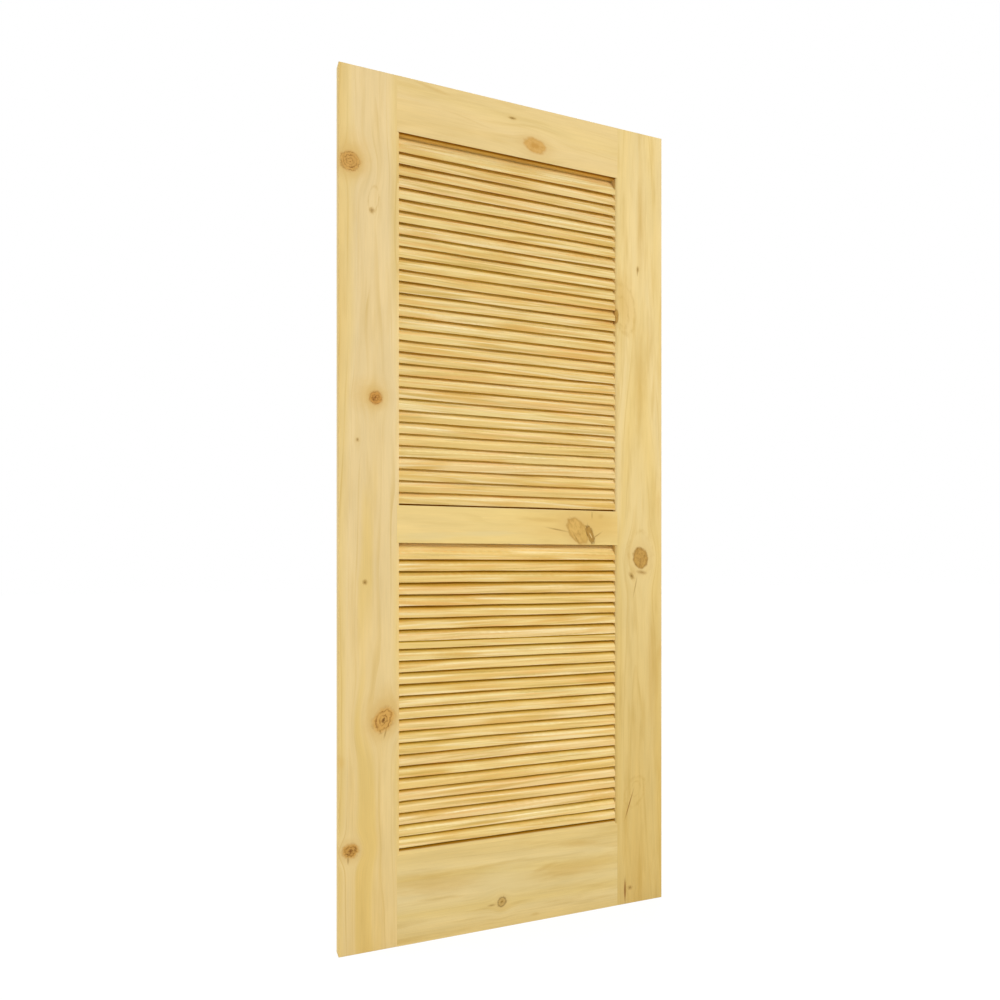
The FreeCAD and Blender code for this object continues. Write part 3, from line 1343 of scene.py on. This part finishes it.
# Pale and matt, yellower towards the foot, with upright wisps, looped grain and brown knots
RIGHT_STILE_PINE = PlanedPine(
    "planed_pine_right_stile",
    Grain.UPRIGHT,
    zones=(
        (45.0, "#EACB86"), (58.0, "#EBD090"), (70.0, "#ECD294"), (84.0, "#E9CC86"), (96.0, "#EDD396"),
        (110.0, "#EBCF8C"), (124.0, "#EDD396"),
    ),
    line="#CFAA58",
    foot="#EEE7CE",
    pith=(736.0, 27.0, 0.0),
    lean=(-0.03, -0.004, 0.0),
    line_share=0.4,
    wisps=0.45,
    marks=(
        Mark(MarkKind.STREAK, 738, 250, 8, 110),
        Mark(MarkKind.PIN_KNOT, 731, 355, 2.8, 6),
        Mark(MarkKind.SHAKE, 730, 364, 1.4, 7),
        Mark(MarkKind.BLUSH, 694, 450, 26, 60, -10),
        Mark(MarkKind.LOOP, 692, 462, 30, 66, -8),
        Mark(MarkKind.LOOP, 686, 472, 18, 40, -8),
        Mark(MarkKind.BROWN_KNOT, 671, 484, 6, 19),
        Mark(MarkKind.STREAK, 738, 630, 16, 90),
        Mark(MarkKind.LOOP, 738, 1092, 34, 56),
        Mark(MarkKind.BROWN_KNOT, 739, 1106, 21, 28, -8),
        Mark(MarkKind.PIN_KNOT, 714, 1153, 5, 9, -30),
        Mark(MarkKind.SHAKE, 724, 1180, 1.2, 22, 12),
        Mark(MarkKind.SHAKE, 742, 1143, 12, 4, 10),
        Mark(MarkKind.STREAK, 772, 1400, 12, 120),
        Mark(MarkKind.BLUSH, 797, 1352, 5, 24),
        Mark(MarkKind.LOOP, 722, 1712, 26, 40, 20),
        Mark(MarkKind.LOOP, 724, 1706, 13, 20, 20),
        Mark(MarkKind.CRACK, 707, 1744, 1.3, 33, 18),
        Mark(MarkKind.CRACK, 695, 1964, 2.6, 26),
        Mark(MarkKind.GREY_KNOT, 709, 1960, 6, 5),
    ),
)

# Pale, even and matt, with faint level wisps, one golden knot and a shaded lower edge
TOP_RAIL_PINE = PlanedPine(
    "planed_pine_top_rail",
    Grain.LEVEL,
    zones=((40.0, "#E8CA88"), (60.0, "#EACE92"), (80.0, "#E9CD8C"), (110.0, "#EACE90")),
    line="#D3B062",
    foot=WHITE,
    pith=(300.0, 30.0, 1900.0),
    lean=(0.0, 0.05, 0.02),
    line_share=0.25,
    wisps=0.34,
    # Painted shade on the rail's lower edge, by depth in millimetres
    recess_shade=(
        (-17.3, WHITE), (-16.8, "#8C660C"), (-12.5, "#A07A22"), (-7.0, "#CAA64C"), (-2.5, "#FFF2C0"),
        (14.0, WHITE),
    ),
    recess_shade_span=(1800.0, 1930.0),
    marks=(
        Mark(MarkKind.PIN_KNOT, 397, 37, 8, 3.0),
        Mark(MarkKind.GOLDEN_KNOT, 454, 92, 28, 18, 8),
        Mark(MarkKind.STREAK, 205, 11, 30, 3.5, 10),
    ),
)

# Warm and matt, nearly clear, with a pale knot, a bark pocket and a shaded sill
MIDDLE_RAIL_PINE = PlanedPine(
    "planed_pine_middle_rail",
    Grain.LEVEL,
    zones=((50.0, "#EACA82"), (70.0, "#EDD08C"), (86.0, "#ECCF86"), (110.0, "#EED292")),
    line="#D8B66C",
    foot=WHITE,
    pith=(300.0, 60.0, 975.0),
    lean=(0.0, 0.01, 0.01),
    line_share=0.2,
    # Painted shade on the sill under the lowest upper slat, by depth in millimetres
    recess_shade=((-12.0, WHITE), (-6.0, "#C49E34"), (-2.0, "#A88426"), (6.0, "#B4943C"), (14.0, WHITE)),
    recess_shade_span=(970.0, 1070.0),
    marks=(
        Mark(MarkKind.PALE_PATCH, 195, 1057, 62, 9, -3),
        Mark(MarkKind.PALE_PATCH, 330, 1049, 70, 6, -2),
        Mark(MarkKind.STREAK, 470, 1012, 44, 5, 3),
        Mark(MarkKind.BLUSH, 560, 1020, 120, 40),
        Mark(MarkKind.BLUSH, 622, 1018, 52, 32),
        Mark(MarkKind.PALE_KNOT, 566, 1038, 23, 38, -38),
        Mark(MarkKind.SHAKE, 561, 1056, 1.5, 16, -31),
        Mark(MarkKind.STREAK, 590, 1052, 16, 18),
        Mark(MarkKind.BARK, 599, 1046, 8.5, 25, -20),
        Mark(MarkKind.SHAKE, 512, 1036, 24, 1.8, 10),
        Mark(MarkKind.SHAKE, 616, 1050, 15, 1.4, -34),
        Mark(MarkKind.STREAK, 628, 1000, 6, 5),
        Mark(MarkKind.SHAKE, 604, 998, 1.3, 8),
    ),
)

# Pale and matt, clouded by broad level streaks, with one small ringed knot and a shaded sill
BOTTOM_RAIL_PINE = PlanedPine(
    "planed_pine_bottom_rail",
    Grain.LEVEL,
    zones=((20.0, "#E8D29A"), (36.0, "#E8D094"), (50.0, "#E3C882"), (66.0, "#E7CE90"), (90.0, "#E4C884")),
    line="#C8A556",
    foot=WHITE,
    pith=(380.0, 16.0, 100.0),
    lean=(0.0, 0.02, 0.02),
    ring=12.0,
    line_share=0.2,
    blotch=0.06,
    wisps=0.42,
    # Painted shade on the sill under the lowest lower slat, by depth in millimetres
    recess_shade=((-12.2, WHITE), (-10.0, "#BC9838"), (-7.0, "#A88628"), (6.0, "#AC8E3C"), (14.0, WHITE)),
    recess_shade_span=(100.0, 260.0),
    marks=(
        Mark(MarkKind.STREAK, 210, 1868, 100, 24, 6),
        Mark(MarkKind.STREAK, 560, 1884, 120, 16, -4),
        Mark(MarkKind.PALE_PATCH, 388, 1890, 78, 34),
        Mark(MarkKind.STREAK, 480, 1872, 24, 5, -14),
        Mark(MarkKind.STREAK, 570, 1826, 40, 7, 5),
        Mark(MarkKind.RING_KNOT, 371, 1939, 10, 12, 25),
        Mark(MarkKind.SHAKE, 346, 1943, 8, 2.4),
        Mark(MarkKind.STREAK, 455, 1983, 10, 3),
    ),
)

# Golden and matt, banded along each slat, with painted yellow-brown shade deep between the slats
UPPER_SLAT_PINE = SlatPine(
    "planed_pine_upper_slats",
    recess_shade=((-5.0, WHITE), (0.0, "#F2EE98"), (5.0, "#D4B954"), (8.0, "#DEC480"), (14.0, WHITE)),
)

# The same wood, its painted yellow-brown shade setting in nearer to the front, and with lighter painted shade
# on its front edges
LOWER_SLAT_PINE = SlatPine(
    "planed_pine_lower_slats",
    recess_shade=((-11.5, WHITE), (-6.5, "#E4D288"), (-2.0, "#C6AA44"), (6.0, "#D2B862"), (14.0, WHITE)),
    nose_shade="#F8F0E3",
)


def main() -> None:
    """Build the leaf piece by piece, then the studio and the camera."""
    logging.basicConfig(level=logging.INFO, format="%(name)s: %(message)s")
    for assembly in (
        Stile("left_stile", LEFT_STILE_PINE, inner_right=True),
        Stile("right_stile", RIGHT_STILE_PINE, inner_right=False),
        Rail("top_rail", TOP_RAIL_PINE),
        Rail("middle_rail", MIDDLE_RAIL_PINE, sill=(SILL_START, MIDDLE_RAIL_TOP)),
        Rail("bottom_rail", BOTTOM_RAIL_PINE, sill=(FACE, BOTTOM_RAIL_TOP)),
        # Painted shade between the slats sets in slower on the first slat under each rail, and faster on the
        # lower ninth slat, which sits close under the eighth
        SlatField("upper_slats", UPPER_PIECES, UPPER_SLAT_PINE, seed=7, shade_rate={0: 0.42}),
        SlatField("lower_slats", LOWER_PIECES, LOWER_SLAT_PINE, seed=11, shade_rate={0: 0.1, 8: 4.0}),
    ):
        assembly.dress(assembly.build())
    Studio().build()
    Viewpoint().place()


if __name__ == "__main__":
    main()
